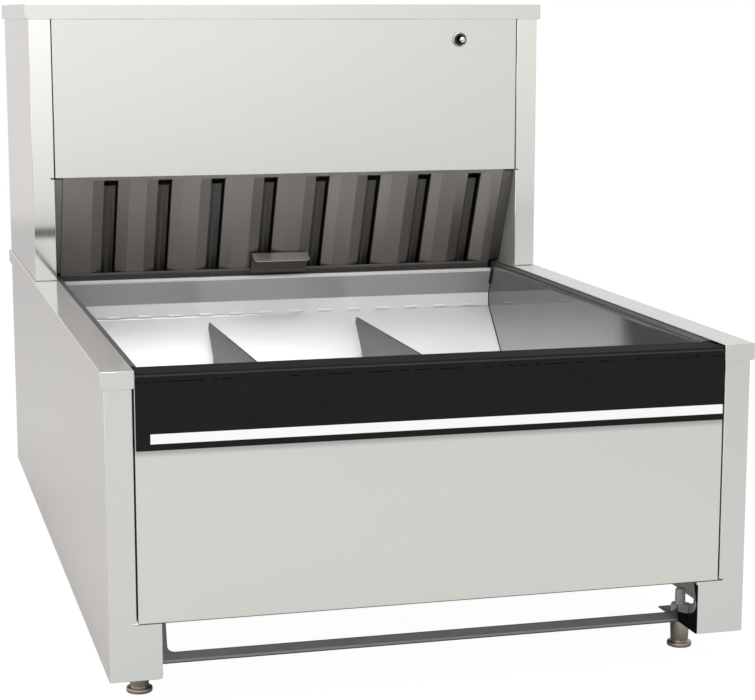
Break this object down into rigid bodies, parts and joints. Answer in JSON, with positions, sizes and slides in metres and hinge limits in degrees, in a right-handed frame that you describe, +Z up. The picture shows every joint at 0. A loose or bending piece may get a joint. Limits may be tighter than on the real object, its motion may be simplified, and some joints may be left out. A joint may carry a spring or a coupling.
{
  "type": "countertop chip warmer",
  "caption": "Countertop chip warmer: open steel bin with lift-out dividers, and a rear hood whose blower draws air through a baffle filter and returns it warm.",
  "frame": {"origin": "on the counter, under the middle of the whole", "axes": "+X to the right of someone facing the front, +Y to the rear, +Z up; the front faces -Y"},
  "size_m": [0.4646, 0.7226, 0.4753],
  "materials": {
    "brushed_steel": "brushed stainless, grain across the panels",
    "polished_steel": "polished stainless",
    "galvanised_steel": "galvanised, dull grey",
    "filter_steel": "satin stainless, slightly brown",
    "black_paint": "satin black with a white stripe",
    "black_plastic": "matt",
    "zinc_plate": "yellowish zinc plating",
    "chrome": "bright",
    "element_sheath": "heat-darkened sheath",
    "mineral_wool": "fibrous board",
    "motor_paint": "black enamel"
  },
  "bodies": {
    "cabinet": {"base_back_panel": "brushed_steel", "base_floor": "galvanised_steel", "blower_housing": "galvanised_steel", "blower_motor": "motor_paint", "duct_baffle": "galvanised_steel", "filter_guide_left": "galvanised_steel", "filter_guide_right": "galvanised_steel", "foot_bracket_front_left": "galvanised_steel", "foot_bracket_front_right": "galvanised_steel", "foot_bracket_rear_left": "galvanised_steel", "foot_bracket_rear_right": "galvanised_steel", "foot_nut_front_left": "zinc_plate", "foot_nut_front_right": "zinc_plate", "foot_nut_rear_left": "zinc_plate", "foot_nut_rear_right": "zinc_plate", "front_cross_rail": "galvanised_steel", "front_panel": "brushed_steel", "front_trim": "black_paint", "heating_element": "element_sheath", "hood_back_panel": "brushed_steel", "hood_cap": "brushed_steel", "hood_deck": "galvanised_steel", "hood_side_left": "brushed_steel", "hood_side_right": "brushed_steel", "insulation_left": "mineral_wool", "insulation_right": "mineral_wool", "liner_left": "polished_steel", "liner_right": "polished_steel", "pan_support_left": "galvanised_steel", "pan_support_right": "galvanised_steel", "power_inlet": "black_plastic", "product_pan": "polished_steel", "rail_cap_left": "brushed_steel", "rail_cap_right": "brushed_steel", "rear_cross_rail": "galvanised_steel", "service_panel": "brushed_steel", "side_panel_left": "brushed_steel", "side_panel_right": "brushed_steel", "switch_body": "black_plastic", "switch_ring": "chrome", "terminal_block": "black_plastic", "thermostat": "motor_paint"},
    "filter": {"filter_front_baffles": "filter_steel", "filter_rear_baffles": "filter_steel", "filter_handle": "filter_steel"},
    "divider_left": {"divider_left": "polished_steel"},
    "divider_right": {"divider_right": "polished_steel"},
    "toggle": {"toggle_lever": "chrome"},
    "blower_wheel": {"blower_wheel": "galvanised_steel"},
    "foot_front_left": {"foot_front_left": "zinc_plate"},
    "foot_front_right": {"foot_front_right": "zinc_plate"},
    "foot_rear_left": {"foot_rear_left": "zinc_plate"},
    "foot_rear_right": {"foot_rear_right": "zinc_plate"}
  },
  "joints": [
    {"name": "filter_pull_out", "type": "slide", "parent": "cabinet", "child": "filter", "axis": [0, -1, 0], "range_m": [0, 0.035]},
    {"name": "divider_left_lift", "type": "slide", "parent": "cabinet", "child": "divider_left", "axis": [0, -0.5, 0.866], "range_m": [0, 0.165]},
    {"name": "divider_right_lift", "type": "slide", "parent": "cabinet", "child": "divider_right", "axis": [0, -0.5, 0.866], "range_m": [0, 0.165]},
    {"name": "toggle_tilt", "type": "hinge", "parent": "cabinet", "child": "toggle", "pos_m": [0.1562, 0.1085, 0.4441], "axis": [1, 0, 0], "range_deg": [-12, 12]},
    {"name": "blower_spin", "type": "hinge", "parent": "cabinet", "child": "blower_wheel", "pos_m": [0, 0.186, 0.3652], "axis": [0, 0, 1], "continuous": true},
    {"name": "foot_front_left_screw", "type": "slide", "parent": "cabinet", "child": "foot_front_left", "axis": [0, 0, -1], "range_m": [0, 0.01]},
    {"name": "foot_front_right_screw", "type": "slide", "parent": "cabinet", "child": "foot_front_right", "axis": [0, 0, -1], "range_m": [0, 0.01]},
    {"name": "foot_rear_left_screw", "type": "slide", "parent": "cabinet", "child": "foot_rear_left", "axis": [0, 0, -1], "range_m": [0, 0.01]},
    {"name": "foot_rear_right_screw", "type": "slide", "parent": "cabinet", "child": "foot_rear_right", "axis": [0, 0, -1], "range_m": [0, 0.01]}
  ]
}
